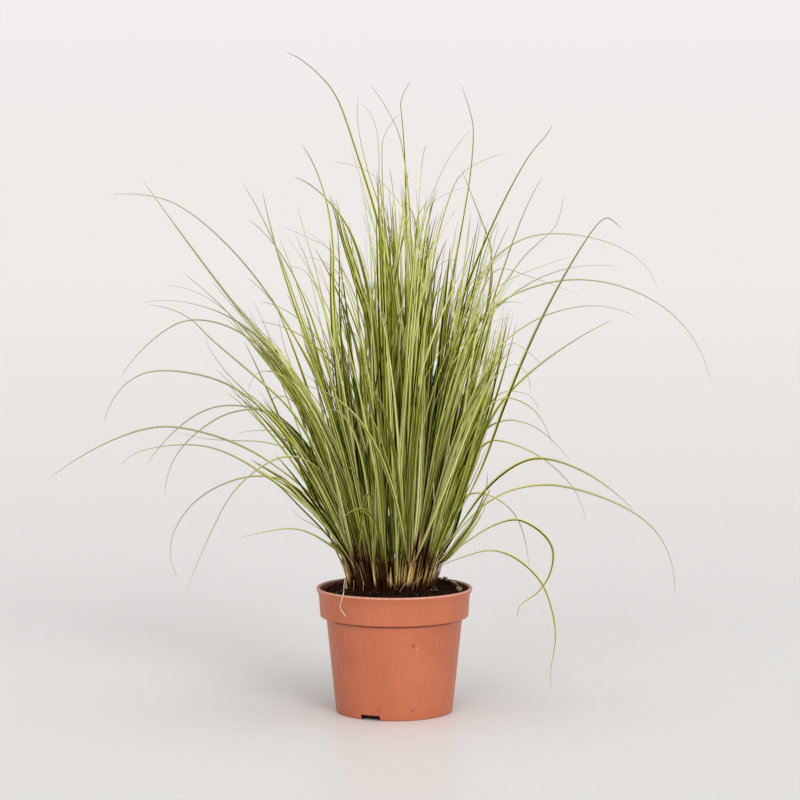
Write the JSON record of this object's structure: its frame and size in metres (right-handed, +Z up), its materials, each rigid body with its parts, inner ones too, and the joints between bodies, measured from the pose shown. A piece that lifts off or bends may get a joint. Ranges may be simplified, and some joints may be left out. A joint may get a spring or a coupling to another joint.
{
  "type": "potted ornamental grass",
  "caption": "Fountain-like clump of narrow, pale-edged green leaves growing in peat in a round terracotta-coloured nursery pot with a banded rim.",
  "frame": {"origin": "middle of the pot's flat underside", "axes": "+Z up, the way the plant grows; -Y towards the viewer of the front; +X to the viewer's right"},
  "size_m": [0.5167, 0.4596, 0.5061],
  "materials": {
    "pot": "satin moulded plastic, terracotta colour",
    "peat": "matt, crumbly",
    "leaf": "satin, green with pale margins",
    "dry_leaf": "matt, straw colour"
  },
  "bodies": {
    "root": {"pot": "pot", "peat": "peat", "dry_leaf": "dry_leaf", "shoot_01": "leaf", "shoot_02": "leaf", "shoot_03": "leaf", "shoot_04": "leaf", "shoot_05": "leaf", "shoot_06": "leaf", "shoot_07": "leaf", "shoot_08": "leaf", "shoot_09": "leaf", "shoot_10": "leaf", "shoot_11": "leaf", "shoot_12": "leaf", "shoot_13": "leaf", "shoot_14": "leaf", "shoot_15": "leaf", "shoot_16": "leaf", "shoot_17": "leaf", "shoot_18": "leaf", "shoot_19": "leaf", "shoot_20": "leaf", "shoot_21": "leaf", "shoot_22": "leaf", "shoot_23": "leaf", "shoot_24": "leaf", "shoot_25": "leaf", "shoot_26": "leaf", "shoot_27": "leaf", "shoot_28": "leaf", "shoot_29": "leaf", "shoot_30": "leaf", "shoot_31": "leaf", "shoot_32": "leaf", "shoot_33": "leaf", "shoot_34": "leaf", "shoot_35": "leaf", "shoot_36": "leaf", "shoot_37": "leaf", "shoot_38": "leaf", "shoot_39": "leaf", "shoot_40": "leaf", "shoot_41": "leaf", "shoot_42": "leaf", "shoot_43": "leaf", "shoot_44": "leaf", "shoot_45": "leaf", "shoot_46": "leaf", "shoot_47": "leaf"}
  },
  "joints": []
}
